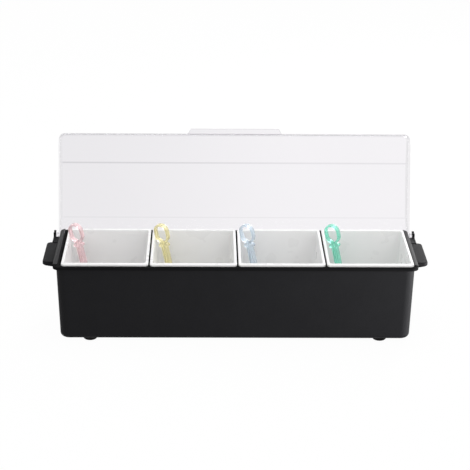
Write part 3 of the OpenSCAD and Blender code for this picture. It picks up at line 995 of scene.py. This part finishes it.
def tongs_skin(name):
    """Tongs as one strip: a rounded bar carried up an arm, round the bow and down the other arm.

    The bar's half width is that of the arm, drawn in to a round tip. Half circles on its inner side
    are the teeth, and half an ellipse on its outer side, just under the bow, is the finger lug. The
    strip is turned about its own length, leaned to the side and laid into the box of its node.
    """
    edge = 0.6
    lug_rise, lug_half, lug_drop = 3.0, 2.6, 3.0
    arm = arm_line()
    line = np.concatenate([arm, arm[-2::-1] * (-1, 1)])
    run = np.gradient(line, axis=0)
    run /= np.linalg.norm(run, axis=1, keepdims=True)
    left = np.stack([-run[:, 1], run[:, 0]], -1)
    height = line[:, 1]
    half = ARM_WIDTH / 2
    tip = half * np.sqrt(np.clip(1 - np.clip(1 - height / half, 0, 1) ** 2, 0.02, 1))
    tooth = TOOTH_PITCH * np.clip(np.round(height / TOOTH_PITCH), 1, TEETH)
    teeth = np.sqrt(np.clip(TOOTH_RADIUS ** 2 - (height - tooth) ** 2, 0, None))
    from_lug = (height - BOW_LOW + BOW_RADIUS + lug_drop) / lug_half
    lug = lug_rise * np.sqrt(np.clip(1 - from_lug ** 2, 0, None))
    depth = TONGS_DEPTH / 2 * np.clip(tip / half, 0.6, 1)
    rings = []
    for side_x, side_y, start in CORNERS:
        reach = tip + lug if side_x > 0 else -tip - teeth
        for x, y in arc((0, 0), 1, start, start + 90, 3):
            across = reach + edge * (x - side_x) * tip / half
            rings.append(np.column_stack([
                line + left * across[:, None], side_y * depth + edge * (y - side_y)
            ]))
    points, faces = loft(np.array(rings).transpose(1, 0, 2))
    x, z, y = points.T
    x, y = rotated(x, y, TONGS_TURN)
    x, z = rotated(x, z, TONGS_LEAN)
    points = np.column_stack([x, -y, z])
    low, high = node_box(name)
    laid = (low + high - points.min(0) - points.max(0)) / 2
    return points + laid + (TRAY_SLIDE, 0, 0), faces


# ---------------------------------------------------------------- the object

black = tub_plastic()
rubber = foot_rubber()
white = tray_plastic()
clear = lid_clear()

tub_skins = [tub_shell(), *both_ends(curb(), handle(), handle_root(), *bracket())]
tub = piece("tub_body", tub_skins, black, "base", "tub_plastic", "tub")
for name in FEET:
    piece(name + "_pad", [foot_skin(name)], rubber, "base", "foot_rubber", name)
liners = [
    piece(name + "_liner", [tray_skin(name)], white, name + "_body", "tray_plastic", name)
    for name in TRAYS
]
cover = piece("lid_cover", [lid_skin()], clear, "lid_body", "lid_clear", "lid")
thickened(cover, WALL, edge=0.4)
piece("lid_tab", [thumb_tab()], clear, "lid_body", "lid_clear")
piece("lid_pins", lid_pins(), clear, "lid_body", "lid_clear")
for name in TINTS:
    piece(name + "_strip", [tongs_skin(name)], tongs_plastic(name), name + "_body", name, name)


# ---------------------------------------------------------------- floor, light and camera, in metres

WHITE = (1, 1, 1, 1)
SHOWN = ("Is Camera Ray", "Is Glossy Ray", "Is Transmission Ray")


def pale_floor():
    """White sweep: it looks white to the camera, and darkens only where the caddy shades it."""
    glow = 0.975
    recipe = Recipe(bpy.data.materials.new("pale_floor"))
    matte = recipe.node("ShaderNodeBsdfDiffuse", inputs={"Color": (0.89, 0.89, 0.89, 1)})
    bright = recipe.node("ShaderNodeEmission", inputs={"Color": WHITE, "Strength": 1.0})
    return recipe.finish(recipe.layered(recipe.seen_by(*SHOWN) * glow, matte, bright))


def white_room():
    """White surroundings: full white where they are seen or mirrored, softer as a light."""
    as_light, as_seen = 0.56, 1.0
    recipe = Recipe(bpy.data.worlds.new("white_room"))
    soft, shown = [
        recipe.node("ShaderNodeBackground", inputs={"Color": WHITE, "Strength": strength})
        for strength in (as_light, as_seen)
    ]
    mixed = recipe.layered(recipe.seen_by(*SHOWN), soft, shown)
    return recipe.finish(mixed, "ShaderNodeOutputWorld")


def floor_sheet():
    """Square sheet at the height of the feet."""
    half = 4.0
    ground = node_box(FEET[0])[0][2] * MM
    corners = [(x, y, ground) for x, y in ((-half, -half), (half, -half), (half, half), (-half, half))]
    mesh = bpy.data.meshes.new("floor")
    mesh.from_pydata(corners, [], [(0, 1, 2, 3)])
    mesh.materials.append(pale_floor())
    made = bpy.data.objects.new("floor", mesh)
    bpy.context.scene.collection.objects.link(made)
    return made


def lamp(name, place, target, size, power, only=()):
    """Square area lamp aimed at a point. It lights everything, or only the pieces given."""
    light = bpy.data.lights.new(name, "AREA")
    light.size = size
    light.energy = power
    made = bpy.data.objects.new(name, light)
    made.location = place
    made.rotation_euler = (Vector(target) - Vector(place)).to_track_quat("-Z", "Y").to_euler()
    bpy.context.scene.collection.objects.link(made)
    if only:
        lit = bpy.data.collections.new(name + "_lights")
        for each in only:
            lit.objects.link(each)
        made.light_linking.receiver_collection = lit


def front_camera():
    """Long lens, a little above the caddy and square to its front, with a slight turn and roll.

    Turn, rise and roll are in radians. The render's width and the focal length are in pixels.
    """
    turn, rise, roll = -0.017670, math.radians(19.5), 0.0092718
    distance = 2.1906
    target = Vector((-0.00031, 0, 0.11774))
    render_width = 470
    focal_length = 1715.95
    back = Vector((
        math.sin(turn) * math.cos(rise), -math.cos(turn) * math.cos(rise), math.sin(rise)
    ))
    right = Vector((math.cos(turn), math.sin(turn), 0))
    up = back.cross(right)
    across = math.cos(roll) * right + math.sin(roll) * up
    upright = math.cos(roll) * up - math.sin(roll) * right
    lens = bpy.data.cameras.new("camera")
    lens.sensor_width = 36
    lens.sensor_fit = "HORIZONTAL"
    lens.lens = focal_length / render_width * lens.sensor_width
    lens.clip_end = 20
    made = bpy.data.objects.new("camera", lens)
    facing = Matrix((across, upright, back)).transposed().to_4x4()
    made.matrix_world = Matrix.Translation(target + back * distance) @ facing
    bpy.context.scene.collection.objects.link(made)
    return made


floor = floor_sheet()
bpy.context.scene.world = white_room()
lamp("key_lamp", (1.1, -1.5, 1.6), (0, 0, 0.08), size=0.9, power=4)
lamp("top_lamp", (0.0, 0.2, 2.0), (0, 0, 0), size=1.4, power=17)
lamp("low_lamp", (0.56, -0.50, 0.07), (0.18, 0, 0.05), size=0.12, power=4.5, only=[tub])
lamp("side_lamp", (0.85, -0.05, 0.05), (0.22, -0.02, 0.05), size=0.12, power=12, only=[tub])
lamp("front_lamp", (0.25, -1.6, 0.3), (0.05, 0, 0.08), size=0.6, power=4, only=[tub, *liners])
lamp("left_lamp", (-1.6, -1.0, 1.0), (0, 0, 0.08), size=1.0, power=2.5)
lamp("rear_lamp", (0.75, 1.3, 0.95), (0.1, 0, 0.1), size=0.6, power=12)
bpy.context.scene.camera = front_camera()
bpy.context.scene.view_settings.view_transform = "Standard"
